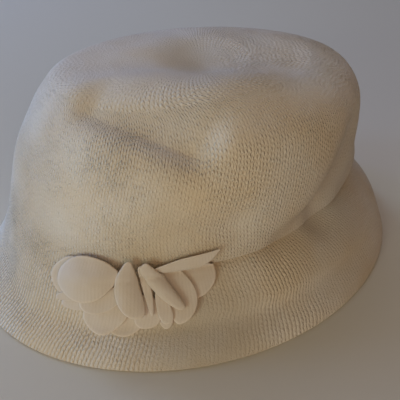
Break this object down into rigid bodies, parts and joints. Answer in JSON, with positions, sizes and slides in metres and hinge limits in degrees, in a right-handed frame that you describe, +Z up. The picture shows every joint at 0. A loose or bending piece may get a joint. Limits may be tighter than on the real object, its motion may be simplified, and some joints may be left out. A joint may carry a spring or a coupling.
{
  "type": "cloche hat",
  "caption": "Cream felted-knit cloche hat with a soft dented crown, a flared turned-down brim and a spray of layered felt petals at one side of the brim's root.",
  "frame": {"origin": "middle of the brim's edge, on the surface that the hat rests on", "axes": "+Z up through the crown; the wearer faces -Y, so +X is the wearer's left, where the petals are; the brim is longest along Y"},
  "size_m": [0.229, 0.2716, 0.1217],
  "materials": {
    "knit": "fine cream wool knit, lightly felted, matt with a soft fuzz",
    "felt": "smooth thick cream wool felt, matt, cut edges"
  },
  "bodies": {
    "root": {"hat_body": "knit", "petal_left_under": "felt", "petal_tip_lower": "felt", "petal_low_back": "felt", "petal_low_tip": "felt", "petal_far_right": "felt", "petal_tip_upper": "felt", "petal_low_left": "felt", "petal_low_right": "felt", "petal_right": "felt", "petal_inner_left": "felt", "petal_low_middle": "felt", "petal_strip": "felt", "petal_point": "felt", "petal_left": "felt", "petal_middle": "felt", "petal_fold": "felt"}
  },
  "joints": []
}
